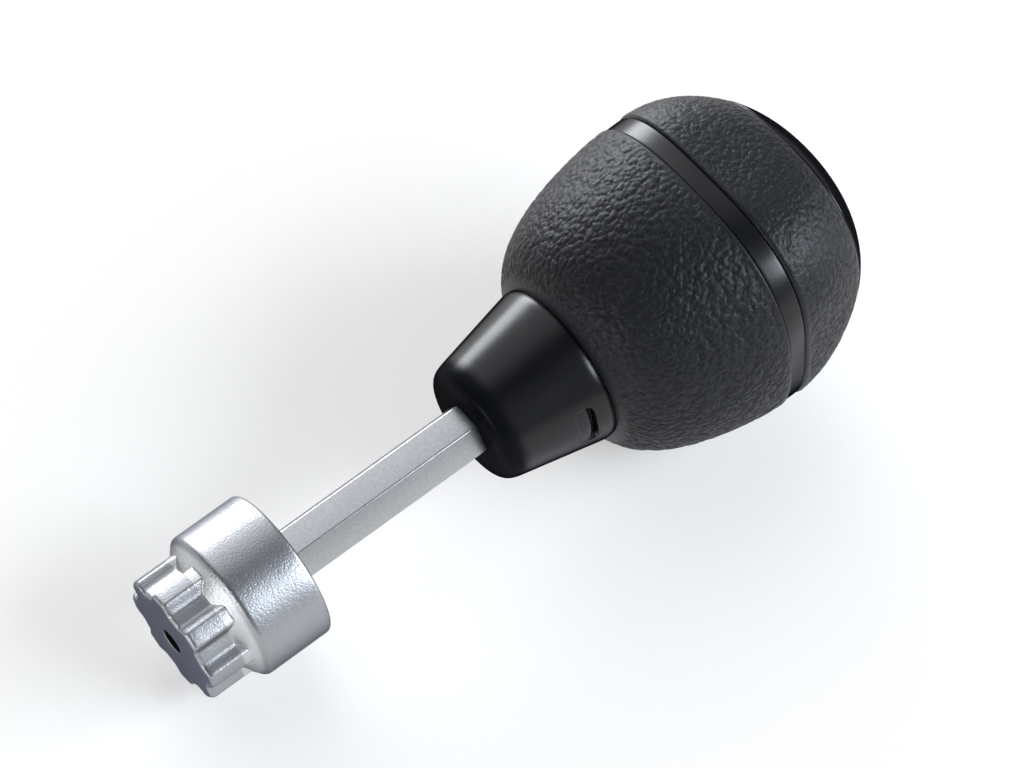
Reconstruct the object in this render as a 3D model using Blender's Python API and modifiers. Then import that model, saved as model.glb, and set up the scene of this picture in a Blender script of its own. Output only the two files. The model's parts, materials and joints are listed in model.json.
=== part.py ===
"""A ball-handled crank arm installation tool, lying on its side as it comes to rest.

Each piece is modelled along the tool's own axis. Zero is the flat front of the handle's neck, +Z runs out
along the shank to the splined head and -Z back into the ball. Local +X is the side that faces the floor.
An empty then lays the tool down, on the front edge of the collar and one of the ball's four flats.
"""

import math

import bmesh
import bpy
import numpy as np
from mathutils import Matrix, Vector

MM = 0.001

# Splined head
SPLINE_COUNT = 8
SPLINE_TIP_RADIUS = 7.70 * MM
SPLINE_ROOT_RADIUS = 6.60 * MM
SPLINE_TIP_HALF_ANGLE = 7.5
SPLINE_ROOT_HALF_ANGLE = 8.0
SPLINE_TIP_ROUND = 0.25 * MM  # how far the rounding of a corner reaches along its two sides
SPLINE_ROOT_ROUND = 0.42 * MM
SPLINE_LENGTH = 4.55 * MM  # from the roots' foot on the shoulder to the flat front
SPLINE_FRONT_ROUND = 0.45 * MM
SPLINE_TURN = 9.7  # degrees from the floor side to the middle of the first tip
CENTRE_HOLE_RADIUS = 1.50 * MM
CENTRE_HOLE_DEPTH = 6.0 * MM
COLLAR_RADIUS = 9.10 * MM
COLLAR_LENGTH = 8.46 * MM  # the straight side, measured to where the shoulder's cone would meet it
COLLAR_FRONT_ROUND = 0.90 * MM
COLLAR_REAR_ROUND = 0.50 * MM
SHOULDER_SLOPE = 40.0  # degrees between the shoulder's cone and a flat face
HEAD_SOCKET_DEPTH = 6.5 * MM

# Hexagonal shank
HEX_ACROSS_FLATS = 6.00 * MM
HEX_EDGE_ROUND = 0.22 * MM
SHANK_EXPOSED = 26.15 * MM
SHANK_IN_HANDLE = 30.0 * MM

# Handle core
NECK_FACE_RADIUS = 4.90 * MM
NECK_FRONT_RADIUS = 7.21 * MM  # of the neck's cone where it would meet the flat front
NECK_REAR_RADIUS = 10.08 * MM
NECK_LENGTH = 13.35 * MM
NECK_ROUND_LENGTH = 3.05 * MM
NECK_ROUND_FACE_PULL = 2.45 * MM
NECK_ROUND_SIDE_PULL = 2.10 * MM
NECK_LIP_ROUND = 0.50 * MM
NECK_CORE_RADIUS = 8.60 * MM
POCKET_TURN = 98.7  # degrees from the floor side to the middle of the pocket
POCKET_STATION = 9.95 * MM
POCKET_LENGTH = 5.60 * MM
POCKET_WIDTH = 2.30 * MM
POCKET_DEPTH = 0.95 * MM  # at its rear wall, below its front edge
POCKET_FRONT_STEP = 0.20 * MM
POCKET_END_ROUND = 0.90 * MM

# Ball
BALL_START_RADIUS = 10.0 * MM
BALL_LEAD_ANGLE = 77.7  # degrees between the ball's first slope behind the neck and the axis
BALL_RADIUS = 18.31 * MM
BALL_WIDEST = 30.93 * MM  # from the neck's front to the ball's widest section
BALL_END = 50.64 * MM
FRONT_SHOULDER_PULL = 0.825  # how far each end of the two outline curves holds its direction
FRONT_WAIST_PULL = 0.150
REAR_WAIST_PULL = 0.900
REAR_END_PULL = 0.447
LOBE_COUNT = 4
LOBE_SHARE = 0.065  # how far a lobe stands out, and a flat lies in, as a share of the radius
LOBES_BEHIND_BAND = 4.80 * MM
LOBE_REACH = 7.76 * MM
BAND_STATION = 32.51 * MM
BAND_WIDTH = 2.45 * MM
BAND_RECESS = 0.22 * MM
BAND_EDGE_ROUND = 0.12 * MM
CAP_DOME_LENGTH = 4.56 * MM
CAP_PROUD = 0.12 * MM  # how far the cap's rim stands out of the rubber beside it
CAP_SPIGOT_RADIUS = 5.0 * MM
CAP_SPIGOT_LENGTH = 4.0 * MM
CAP_EDGE_ROUND = 0.30 * MM
GRIP_WALL = 2.0 * MM
FRONT_GRIP_START_ROUND = 0.20 * MM
FRONT_GRIP_END_ROUND = 0.35 * MM
REAR_GRIP_START_ROUND = 0.70 * MM
REAR_GRIP_END_ROUND = 0.45 * MM

# Fits
SEAT_GAP = 0.30 * MM  # between pieces that bear on each other out of sight
SEAM_GAP = 0.15 * MM  # at the joints that show

# Facets
AROUND = 64
ARC_STEPS = 3
SPLINE_FRONT_STEPS = 2
NECK_ROUND_STEPS = 6
FRONT_GRIP_STEPS = 13
REAR_GRIP_STEPS = 9
CAP_STEPS = 8
INNER_STEPS = 4
MERGE_DISTANCE = 0.001 * MM

# Stations along the axis, and slopes
NECK_SLOPE = (NECK_REAR_RADIUS - NECK_FRONT_RADIUS) / NECK_LENGTH
COLLAR_REAR_Z = SHANK_EXPOSED
COLLAR_FRONT_Z = COLLAR_REAR_Z + COLLAR_LENGTH
SHOULDER_RISE = math.tan(math.radians(SHOULDER_SLOPE))
SPLINE_FOOT_Z = COLLAR_FRONT_Z + (COLLAR_RADIUS - SPLINE_ROOT_RADIUS) * SHOULDER_RISE
NOSE_FACE_Z = SPLINE_FOOT_Z + SPLINE_LENGTH
FRONT_GRIP_START_Z = -(NECK_LENGTH + SEAM_GAP)
FRONT_GRIP_END_Z = -(BAND_STATION - SEAM_GAP)
BAND_FRONT_Z = -BAND_STATION
BAND_REAR_Z = -(BAND_STATION + BAND_WIDTH)
REAR_GRIP_START_Z = BAND_REAR_Z - SEAM_GAP
CORE_END_Z = -(BALL_END - CAP_DOME_LENGTH)
CAP_START_Z = CORE_END_Z - SEAM_GAP
LOBE_Z = -(BAND_STATION + BAND_WIDTH / 2 + LOBES_BEHIND_BAND)


def clear_scene():
    for obj in list(bpy.data.objects):
        bpy.data.objects.remove(obj)


def collection(name):
    made = bpy.data.collections.new(name)
    bpy.context.scene.collection.children.link(made)
    return made


def material(name, colour, roughness, metallic=0.0):
    made = bpy.data.materials.new(name)
    made.use_nodes = True
    shader = made.node_tree.nodes["Principled BSDF"]
    shader.inputs["Base Color"].default_value = (*colour, 1.0)
    shader.inputs["Roughness"].default_value = roughness
    shader.inputs["Metallic"].default_value = metallic
    return made


def place(name, mesh, group, parent, finish=None):
    obj = bpy.data.objects.new(name, mesh)
    group.objects.link(obj)
    obj.parent = parent
    if finish:
        mesh.materials.append(finish)
    return obj


def as_cutter(obj):
    obj.hide_render = True
    obj.display_type = "WIRE"
    return obj


def boolean(obj, other, operation):
    modifier = obj.modifiers.new(other.name, "BOOLEAN")
    modifier.operation = operation
    modifier.solver = "EXACT"
    modifier.object = other


def bezier(a, b, c, d, u):
    v = 1 - u
    return a * v**3 + b * (3 * v * v * u) + c * (3 * v * u * u) + d * u**3


def bezier_slope(a, b, c, d, u):
    v = 1 - u
    return (b - a) * (3 * v * v) + (c - b) * (6 * v * u) + (d - c) * (3 * u * u)


def rounded(corners, closed=False):
    """A (radius, z) outline through corners given as (radius, z, round), with an arc at each rounded corner."""
    count = len(corners)
    outline = []
    for i, (r, z, size) in enumerate(corners):
        here = Vector((r, z))
        inside = closed or 0 < i < count - 1
        if not size or not inside:
            outline.append(here)
            continue
        before = (Vector(corners[i - 1][:2]) - here).normalized()
        after = (Vector(corners[(i + 1) % count][:2]) - here).normalized()
        half = before.angle(after) / 2
        middle = here + (before + after).normalized() * (size / math.sin(half))
        start = here + before * (size / math.tan(half)) - middle
        turn = start.angle_signed(here + after * (size / math.tan(half)) - middle)
        for step in range(ARC_STEPS + 1):
            arm = start.copy()
            arm.rotate(Matrix.Rotation(-turn * step / ARC_STEPS, 2))
            outline.append(middle + arm)
    return outline


def plain(points):
    return [(p.x, p.y, 0.0) for p in points]


def turned_mesh(name, outline, closed=False):
    """The mesh that the outline sweeps round the tool's axis. It runs down the outer side, head end first."""
    profile = bpy.data.meshes.new(name)
    edges = [(i, i + 1) for i in range(len(outline) - 1)]
    if closed:
        edges.append((len(outline) - 1, 0))
    profile.from_pydata([(p.x, 0.0, p.y) for p in outline], edges, [])
    guide = bpy.data.objects.new(name, profile)
    bpy.context.scene.collection.objects.link(guide)
    screw = guide.modifiers.new("Turn", "SCREW")
    screw.steps = screw.render_steps = AROUND
    screw.use_merge_vertices = True
    screw.merge_threshold = MERGE_DISTANCE
    mesh = bpy.data.meshes.new_from_object(guide.evaluated_get(bpy.context.evaluated_depsgraph_get()))
    bpy.data.objects.remove(guide)
    mesh.name = name
    mesh.shade_smooth()
    mesh.set_sharp_from_angle(angle=math.radians(28))
    return mesh


def lobe_share(z):
    return LOBE_SHARE * math.exp(-(((z - LOBE_Z) / LOBE_REACH) ** 2))


def lobed(mesh, round_within=0.0, round_from=-BALL_END):
    """Pushes the ball's skin out into lobes and in to flats.

    A spigot or a bore stays round: what lies within a radius of the axis, on the head side of a station.
    """
    for vertex in mesh.vertices:
        x, y, z = vertex.co
        if math.hypot(x, y) > round_within or z < round_from:
            swell = 1 - lobe_share(z) * math.cos(LOBE_COUNT * math.atan2(y, x))
            vertex.co = (x * swell, y * swell, z)
    return mesh


def ball_curves():
    """The two outline curves of the ball, as (radius, z): neck to widest section, and on to the end."""
    start = Vector((BALL_START_RADIUS, FRONT_GRIP_START_Z))
    widest = Vector((BALL_RADIUS, -BALL_WIDEST))
    end = Vector((0.0, -BALL_END))
    lead = math.radians(BALL_LEAD_ANGLE)
    rise = BALL_RADIUS - BALL_START_RADIUS
    front_run = start.y - widest.y
    rear_run = widest.y - end.y
    front = (
        start,
        start + Vector((math.sin(lead), -math.cos(lead))) * (FRONT_SHOULDER_PULL * rise),
        widest + Vector((0.0, FRONT_WAIST_PULL * front_run)),
        widest,
    )
    rear = (
        widest,
        widest - Vector((0.0, REAR_WAIST_PULL * rear_run)),
        end + Vector((REAR_END_PULL * BALL_RADIUS, 0.0)),
        end,
    )
    return front, rear


BALL_CURVES = ball_curves()


def ball_point(t, inset=0.0):
    """The ball's outline at t, from 0 at the neck through 1 at the widest section to 2 at the end."""
    curve = BALL_CURVES[0] if t <= 1 else BALL_CURVES[1]
    u = t if t <= 1 else t - 1
    slope = bezier_slope(*curve, u).normalized()
    return bezier(*curve, u) + Vector((slope.y, -slope.x)) * inset


def ball_t(z, inset=0.0):
    """Where the outline, set in by inset, passes the station z."""
    low, high = 0.0, 2.0
    for _ in range(50):
        middle = (low + high) / 2
        if ball_point(middle, inset).y > z:
            low = middle
        else:
            high = middle
    return (low + high) / 2


def ball_run(z_from, z_to, steps, inset=0.0):
    """Outline corners from one station to another, both included, set in by inset."""
    first, last = ball_t(z_from, inset), ball_t(z_to, inset)
    return plain(ball_point(first + (last - first) * i / steps, inset) for i in range(steps + 1))


def ending(run, first_round=0.0, last_round=0.0):
    """The same run of corners, with its two ends rounded over."""
    return [(*run[0][:2], first_round), *run[1:-1], (*run[-1][:2], last_round)]


def collar_outline():
    inner = SPLINE_ROOT_RADIUS - SPLINE_FRONT_ROUND
    return rounded(
        [
            (0.0, SPLINE_FOOT_Z, 0.0),
            (inner, SPLINE_FOOT_Z + (SPLINE_ROOT_RADIUS - inner) * SHOULDER_RISE, 0.0),
            (COLLAR_RADIUS, COLLAR_FRONT_Z, COLLAR_FRONT_ROUND),
            (COLLAR_RADIUS, COLLAR_REAR_Z, COLLAR_REAR_ROUND),
            (0.0, COLLAR_REAR_Z, 0.0),
        ]
    )


def spline_prism(name):
    """The eight-lobed nose as a prism, from inside the collar to its rounded front edge."""
    bm = bmesh.new()
    pitch = 360.0 / SPLINE_COUNT
    tips, roots = [], []
    for i in range(SPLINE_COUNT):
        tip = SPLINE_TURN + i * pitch
        root = tip + pitch / 2
        for middle, half, radius, corners in (
            (tip, SPLINE_TIP_HALF_ANGLE, SPLINE_TIP_RADIUS, tips),
            (root, SPLINE_ROOT_HALF_ANGLE, SPLINE_ROOT_RADIUS, roots),
        ):
            for step in (-1, 0, 1):
                turn = math.radians(middle + step * half)
                vertex = bm.verts.new((radius * math.cos(turn), radius * math.sin(turn), COLLAR_FRONT_Z))
                if step:
                    corners.append(vertex)
    bm.verts.ensure_lookup_table()
    bm.faces.new(bm.verts[:])
    for corners, reach in ((tips, SPLINE_TIP_ROUND), (roots, SPLINE_ROOT_ROUND)):
        bmesh.ops.bevel(
            bm,
            geom=corners,
            affect="VERTICES",
            offset=reach,
            offset_type="OFFSET",
            segments=ARC_STEPS,
            profile=0.5,
            material=-1,
        )
    stages = [(NOSE_FACE_Z - SPLINE_FRONT_ROUND - COLLAR_FRONT_Z, 0.0)]
    turns = [math.pi / 2 * step / SPLINE_FRONT_STEPS for step in range(SPLINE_FRONT_STEPS + 1)]
    for before, after in zip(turns, turns[1:]):
        rise = SPLINE_FRONT_ROUND * (math.sin(after) - math.sin(before))
        stages.append((rise, SPLINE_FRONT_ROUND * (math.cos(before) - math.cos(after))))
    for rise, draw_in in stages:
        top = max(bm.faces, key=lambda face: face.calc_center_median().z)
        made = bmesh.ops.extrude_face_region(bm, geom=[top])
        for vertex in (v for v in made["geom"] if isinstance(v, bmesh.types.BMVert)):
            out = Vector(vertex.co.xy)
            vertex.co.xy = out - out.normalized() * draw_in
            vertex.co.z += rise
        if draw_in:
            bmesh.ops.delete(bm, geom=[top], context="FACES_ONLY")
    bmesh.ops.recalc_face_normals(bm, faces=bm.faces)
    mesh = bpy.data.meshes.new(name)
    bm.to_mesh(mesh)
    bm.free()
    return mesh


def rod_mesh(name, sides, radius, z_from, z_to):
    """A bar along the axis. Its first corner is on local +Y, so a hexagonal one has a flat toward the floor."""
    bm = bmesh.new()
    bmesh.ops.create_cone(
        bm, segments=sides, radius1=radius, radius2=radius, depth=z_to - z_from, cap_ends=True
    )
    bmesh.ops.translate(bm, vec=(0.0, 0.0, (z_from + z_to) / 2), verts=bm.verts)
    mesh = bpy.data.meshes.new(name)
    bm.to_mesh(mesh)
    bm.free()
    return mesh


def hex_radius(gap=0.0):
    return (HEX_ACROSS_FLATS / 2 + gap) / math.cos(math.pi / 6)


def pocket_mesh(name):
    """A round-cornered block whose tilted underside leaves the pocket deep at its rear edge only."""
    bm = bmesh.new()
    bmesh.ops.create_cube(bm, size=1.0)
    tall = 3 * POCKET_DEPTH
    bmesh.ops.scale(bm, vec=(tall, POCKET_LENGTH, POCKET_WIDTH), verts=bm.verts)
    upright = [e for e in bm.edges if abs(e.verts[0].co.x - e.verts[1].co.x) > tall / 2]
    bmesh.ops.bevel(
        bm,
        geom=upright,
        affect="EDGES",
        offset=POCKET_END_ROUND,
        offset_type="OFFSET",
        segments=4,
        profile=0.5,
        material=-1,
    )
    front = Vector((-tall / 2, 0.0, POCKET_WIDTH / 2))
    bmesh.ops.translate(bm, vec=-front, verts=bm.verts)
    lean = math.asin(POCKET_DEPTH / POCKET_WIDTH) - math.atan(NECK_SLOPE)
    bmesh.ops.rotate(bm, cent=(0, 0, 0), matrix=Matrix.Rotation(lean, 3, "Y"), verts=bm.verts)
    station = -(POCKET_STATION - POCKET_WIDTH / 2)
    skin = NECK_FRONT_RADIUS - NECK_SLOPE * station
    bmesh.ops.translate(bm, vec=(skin - POCKET_FRONT_STEP, 0.0, station), verts=bm.verts)
    turn = Matrix.Rotation(math.radians(POCKET_TURN), 3, "Z")
    bmesh.ops.rotate(bm, cent=(0, 0, 0), matrix=turn, verts=bm.verts)
    mesh = bpy.data.meshes.new(name)
    bm.to_mesh(mesh)
    bm.free()
    return mesh


def neck_outline():
    """The handle's front: a flat round the shank, a rounded shoulder and the widening cone."""
    along = Vector((NECK_SLOPE, -1.0)).normalized()
    face = Vector((NECK_FACE_RADIUS, 0.0))
    side = Vector((NECK_FRONT_RADIUS + NECK_SLOPE * NECK_ROUND_LENGTH, -NECK_ROUND_LENGTH))
    pulls = (face + Vector((NECK_ROUND_FACE_PULL, 0.0)), side - along * NECK_ROUND_SIDE_PULL)
    shoulder = [
        bezier(face, *pulls, side, step / NECK_ROUND_STEPS) for step in range(NECK_ROUND_STEPS + 1)
    ]
    return [
        (0.0, 0.0, 0.0),
        *plain(shoulder),
        (NECK_REAR_RADIUS, -NECK_LENGTH, NECK_LIP_ROUND),
    ]


def core_outline():
    """The whole hard core: the neck, the root of the front grip, the band and the seat of the end cap."""
    under = GRIP_WALL + SEAT_GAP
    root_z = ball_point(0.0, under).y
    band = ball_run(BAND_FRONT_Z, BAND_REAR_Z, 2, BAND_RECESS)
    bore = CAP_SPIGOT_RADIUS + SEAT_GAP
    bore_end_z = CORE_END_Z + CAP_SPIGOT_LENGTH + SEAT_GAP
    return rounded(
        [
            *neck_outline(),
            (NECK_CORE_RADIUS, -NECK_LENGTH, 0.0),
            (NECK_CORE_RADIUS, root_z, 0.0),
            *ball_run(root_z, BAND_FRONT_Z, INNER_STEPS, under),
            *ending(band, BAND_EDGE_ROUND, BAND_EDGE_ROUND),
            *ball_run(BAND_REAR_Z, CORE_END_Z, INNER_STEPS, under),
            (bore, CORE_END_Z, 0.0),
            (bore, bore_end_z, 0.0),
            (0.0, bore_end_z, 0.0),
        ]
    )


def front_grip_outline():
    root_z = ball_point(0.0, GRIP_WALL).y
    bore = NECK_CORE_RADIUS + SEAT_GAP
    outer = ball_run(FRONT_GRIP_START_Z, FRONT_GRIP_END_Z, FRONT_GRIP_STEPS)
    inner = ball_run(root_z, FRONT_GRIP_END_Z, INNER_STEPS, GRIP_WALL)
    return rounded(
        [
            *ending(outer, FRONT_GRIP_START_ROUND, FRONT_GRIP_END_ROUND),
            *reversed(inner),
            (bore, root_z, 0.0),
            (bore, FRONT_GRIP_START_Z, 0.0),
        ],
        closed=True,
    )


def rear_grip_outline():
    outer = ball_run(REAR_GRIP_START_Z, CORE_END_Z, REAR_GRIP_STEPS)
    inner = ball_run(REAR_GRIP_START_Z, CORE_END_Z, INNER_STEPS, GRIP_WALL)
    return rounded(
        [*ending(outer, REAR_GRIP_START_ROUND, REAR_GRIP_END_ROUND), *reversed(inner)],
        closed=True,
    )


def cap_outline():
    """The cap: its dome, which stands a little proud at the rim, and the spigot that holds it."""
    flush = ball_run(CAP_START_Z, -BALL_END, CAP_STEPS)
    dome = [(r + CAP_PROUD * r / flush[0][0], z, 0.0) for r, z, _ in flush]
    spigot_end_z = CORE_END_Z + CAP_SPIGOT_LENGTH
    return rounded(
        [
            (0.0, spigot_end_z, 0.0),
            (CAP_SPIGOT_RADIUS, spigot_end_z, 0.0),
            (CAP_SPIGOT_RADIUS, CAP_START_Z, 0.0),
            *ending(dome, CAP_EDGE_ROUND),
        ]
    )


def make_head(parts, cutters, axis):
    steel = material("head_steel", (0.62, 0.63, 0.65), 0.28, 1.0)
    head = place("splined_head", turned_mesh("splined_head", collar_outline()), parts, axis, steel)
    nose = place("nose_splines", spline_prism("nose_splines"), cutters, axis)
    boolean(head, as_cutter(nose), "UNION")
    hole_floor = NOSE_FACE_Z - CENTRE_HOLE_DEPTH
    hole_top = NOSE_FACE_Z + CENTRE_HOLE_DEPTH
    hole = rod_mesh("centre_hole", AROUND // 2, CENTRE_HOLE_RADIUS, hole_floor, hole_top)
    boolean(head, as_cutter(place("centre_hole", hole, cutters, axis)), "DIFFERENCE")
    below = COLLAR_REAR_Z - HEAD_SOCKET_DEPTH
    floor = COLLAR_REAR_Z + HEAD_SOCKET_DEPTH
    socket = rod_mesh("head_socket", 6, hex_radius(SEAM_GAP), below, floor)
    boolean(head, as_cutter(place("head_socket", socket, cutters, axis)), "DIFFERENCE")
    return head


def make_shank(parts, axis):
    steel = material("shank_steel", (0.66, 0.67, 0.68), 0.34, 1.0)
    z_to = COLLAR_REAR_Z + HEAD_SOCKET_DEPTH - SEAT_GAP
    shank = place("hex_shank", rod_mesh("hex_shank", 6, hex_radius(), -SHANK_IN_HANDLE, z_to), parts, axis, steel)
    edges = shank.modifiers.new("Edges", "BEVEL")
    edges.width = HEX_EDGE_ROUND
    edges.segments = 2
    edges.limit_method = "ANGLE"
    edges.angle_limit = math.radians(40)
    return shank


def make_core(parts, cutters, axis):
    black = material("core_plastic", (0.018, 0.018, 0.020), 0.30)
    mesh = lobed(turned_mesh("handle_core", core_outline()), CAP_SPIGOT_RADIUS + 2 * SEAT_GAP)
    core = place("handle_core", mesh, parts, axis, black)
    floor = -(SHANK_IN_HANDLE + SEAT_GAP)
    socket = rod_mesh("handle_socket", 6, hex_radius(SEAM_GAP), floor, -floor)
    boolean(core, as_cutter(place("handle_socket", socket, cutters, axis)), "DIFFERENCE")
    pocket = place("neck_pocket", pocket_mesh("neck_pocket"), cutters, axis)
    boolean(core, as_cutter(pocket), "DIFFERENCE")
    return core


def make_grips(parts, axis):
    rubber = material("grip_rubber", (0.030, 0.031, 0.034), 0.62)
    grips = []
    for name, outline in (("front_grip", front_grip_outline()), ("rear_grip", rear_grip_outline())):
        grips.append(place(name, lobed(turned_mesh(name, outline, closed=True)), parts, axis, rubber))
    return grips


def make_cap(parts, axis):
    gloss = material("cap_plastic", (0.014, 0.014, 0.016), 0.18)
    mesh = lobed(turned_mesh("end_cap", cap_outline()), CAP_SPIGOT_RADIUS + SEAT_GAP, CAP_START_Z - SEAM_GAP)
    return place("end_cap", mesh, parts, axis, gloss)


def points_of(obj):
    """The finished piece's corners in the tool's own axes, one row each."""
    mesh = obj.evaluated_get(bpy.context.evaluated_depsgraph_get()).to_mesh()
    points = np.empty(len(mesh.vertices) * 3, np.float32)
    mesh.vertices.foreach_get("co", points)
    return points.reshape(-1, 3).astype(float)


def lay_down(axis, head, handle):
    """Turns the tool until its head and its handle touch the floor together, and centres it over the origin."""
    head_points = points_of(head)
    handle_points = np.concatenate([points_of(piece) for piece in handle])

    def reach(points, angle):
        return (points[:, 0] * math.cos(angle) + points[:, 2] * math.sin(angle)).max()

    low, high = 0.0, math.radians(45)
    for _ in range(50):
        angle = (low + high) / 2
        if reach(handle_points, angle) > reach(head_points, angle):
            low = angle
        else:
            high = angle
    every = np.concatenate([head_points, handle_points])
    along = every[:, 2] * math.cos(angle) - every[:, 0] * math.sin(angle)
    axis.rotation_euler = (0.0, math.pi / 2 + angle, 0.0)
    axis.location = (-(along.min() + along.max()) / 2, 0.0, reach(every, angle))


def main():
    clear_scene()
    parts = collection("crank_arm_installation_tool")
    cutters = collection("cutters")
    axis = bpy.data.objects.new("tool_axis", None)
    parts.objects.link(axis)
    head = make_head(parts, cutters, axis)
    make_shank(parts, axis)
    handle = [make_core(parts, cutters, axis), *make_grips(parts, axis), make_cap(parts, axis)]
    lay_down(axis, head, handle)


main()
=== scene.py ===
"""The looks of a ball-handled crank arm installation tool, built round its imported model.

Each piece is shaped along the tool's own axis: zero is the flat front of the handle's neck, +Z runs along the
shank to the splined head, and local +X is the side that faces the floor. Sizes are in metres, and angles in
degrees round the axis from the floor side.
"""

import json
import math

import bmesh
import bpy
import numpy as np
from bpy.props import FloatProperty, FloatVectorProperty, PointerProperty
from mathutils import Matrix, Vector, noise


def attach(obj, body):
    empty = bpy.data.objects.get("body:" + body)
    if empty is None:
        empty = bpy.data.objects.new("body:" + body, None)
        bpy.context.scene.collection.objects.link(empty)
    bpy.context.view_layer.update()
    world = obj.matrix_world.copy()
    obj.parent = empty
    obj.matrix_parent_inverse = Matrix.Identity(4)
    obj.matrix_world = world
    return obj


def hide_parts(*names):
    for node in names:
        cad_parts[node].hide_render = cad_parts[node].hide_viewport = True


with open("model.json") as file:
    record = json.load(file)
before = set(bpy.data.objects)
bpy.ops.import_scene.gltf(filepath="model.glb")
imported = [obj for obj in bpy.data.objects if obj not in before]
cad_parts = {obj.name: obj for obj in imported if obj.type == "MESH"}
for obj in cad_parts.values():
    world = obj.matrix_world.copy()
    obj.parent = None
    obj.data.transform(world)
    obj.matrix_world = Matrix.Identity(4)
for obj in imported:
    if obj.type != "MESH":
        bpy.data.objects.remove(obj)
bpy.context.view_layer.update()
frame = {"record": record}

bl_info = {
    "name": "Crank Arm Installation Tool",
    "version": (1, 0, 0),
    "blender": (4, 5, 0),
    "location": "View3D > Sidebar > Crank Tool",
    "description": "Builds a ball-handled tool with a splined steel head, and a studio to show it in",
    "category": "Object",
}

MM = 0.001
BODY = "root"
TOOL_AXIS = (0.0, 0.0, 1.0)


def length(name, description, millimetres):
    """A size that a user may change, given in millimetres and kept in metres."""
    return FloatProperty(
        name=name,
        description=description,
        default=millimetres * MM,
        unit="LENGTH",
        precision=5,
    )


def colour(name, description, value):
    return FloatVectorProperty(
        name=name, description=description, default=value, subtype="COLOR", size=3, min=0.0, max=1.0
    )


def turn(name, description, degrees):
    return FloatProperty(
        name=name, description=description, default=math.radians(degrees), subtype="ANGLE"
    )


def share(name, description, value):
    return FloatProperty(
        name=name, description=description, default=value, subtype="FACTOR", min=0.0, max=1.0
    )


def power(name, description, watts):
    return FloatProperty(name=name, description=description, default=watts, unit="POWER", min=0.0)


class CRANKTOOL_PG_head(bpy.types.PropertyGroup):
    """Sizes and colour of the splined head."""

    tip_radius: length("Spline Tips", "Radius over the tips of the splines", 7.70)
    root_radius: length("Spline Roots", "Radius at the roots of the splines", 6.60)
    spline_length: length("Spline Length", "From the roots' foot on the shoulder to the front", 4.55)
    front_round: length("Front Rounding", "Rounding of the edge round the front", 0.58)
    first_spline: turn("First Spline", "Turn from the floor side to the middle of the first tip", 9.7)
    hole_radius: length("Centre Hole", "Radius of the hole in the front", 1.50)
    hole_depth: length("Hole Depth", "Depth of the hole in the front", 6.0)
    collar_radius: length("Collar", "Radius of the collar", 9.10)
    collar_length: length("Collar Length", "Length of the collar's straight side", 8.46)
    shoulder: turn("Shoulder", "Slope of the conical shoulder against a flat face", 40.0)
    steel: colour("Steel", "Colour of the plated steel", (0.42, 0.43, 0.452))
    # painted dark reflection: the nose's flat face gets a darker colour than the steel, standing in for the
    # dark surroundings it reflects
    painted_dark_face: colour("Face", "Colour of the nose's flat face, which is left dark", (0.31, 0.32, 0.373))
    # painted highlight: the conical shoulder gets a brighter colour than the steel, standing in for the
    # bright reflection on it
    painted_bright_cone: colour("Cone", "Colour of the conical shoulder, which is turned bright", (0.66, 0.665, 0.68))


class CRANKTOOL_PG_shank(bpy.types.PropertyGroup):
    """Sizes and colour of the hexagonal shank."""

    across_flats: length("Across Flats", "Width of the bar across its flats", 6.00)
    exposed: length("Exposed Length", "Length between the neck and the collar", 26.15)
    edge_round: length("Edge Rounding", "Rounding of the bar's long edges", 0.17)
    held: length("Held Length", "How far the bar reaches into the handle", 30.0)
    steel: colour("Steel", "Colour of the drawn bar", (0.505, 0.515, 0.535))


class CRANKTOOL_PG_handle(bpy.types.PropertyGroup):
    """Sizes and colours of the handle."""

    neck_front_radius: length("Neck Front", "Radius of the neck's cone at its flat front", 7.21)
    neck_rear_radius: length("Neck Rear", "Radius of the neck at the ball", 10.08)
    neck_length: length("Neck Length", "Length of the neck", 13.35)
    pocket_turn: turn("Pocket", "Turn from the floor side to the pocket in the neck", 98.7)
    ball_radius: length("Ball", "Largest radius of the ball, before its lobes", 18.31)
    ball_widest: length("Ball Widest", "From the neck's front to the ball's widest section", 30.93)
    ball_end: length("Ball End", "From the neck's front to the end of the ball", 50.64)
    lobes: share("Lobes", "How far the ball's four lobes stand out, as a share of the radius", 0.065)
    band_station: length("Band", "From the neck's front to the ring band", 32.51)
    band_width: length("Band Width", "Width of the ring band", 2.45)
    band_recess: length("Band Recess", "How far the band lies below the rubber", 0.22)
    cap_length: length("Cap", "Length of the end cap's dome", 4.56)
    cap_proud: length("Cap Rim", "How far the cap's rim stands out of the rubber", 0.05)
    plastic: colour("Plastic", "Colour of the hard plastic core", (0.0034, 0.0037, 0.0048))
    cap_plastic: colour("Cap Plastic", "Colour of the glossy end cap", (0.0050, 0.0050, 0.0058))


class CRANKTOOL_PG_grip(bpy.types.PropertyGroup):
    """Sizes and colour of the rubber skins."""

    wall: length("Wall", "Thickness of the rubber", 2.0)
    grain_size: length("Grain", "Width of one pebble of the leather grain", 0.84)
    grain_depth: length("Grain Depth", "Depth of the creases on the front skin", 0.25)
    rear_depth: length("Rear Grain Depth", "Depth of the creases on the rear skin", 0.165)
    rubber: colour("Rubber", "Colour of the rubber", (0.0100, 0.0109, 0.0132))


class CRANKTOOL_PG_stage(bpy.types.PropertyGroup):
    """The studio."""

    floor: colour("Floor", "Colour of the floor", (0.95, 0.935, 0.91))
    room: share("Room", "Brightness of the room's walls", 0.94)
    key_power: power("Key Light", "Power of the large soft light low behind the tool", 8.6)
    side_power: power("Side Light", "Power of the long soft light over the handle's end", 11.4)


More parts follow.
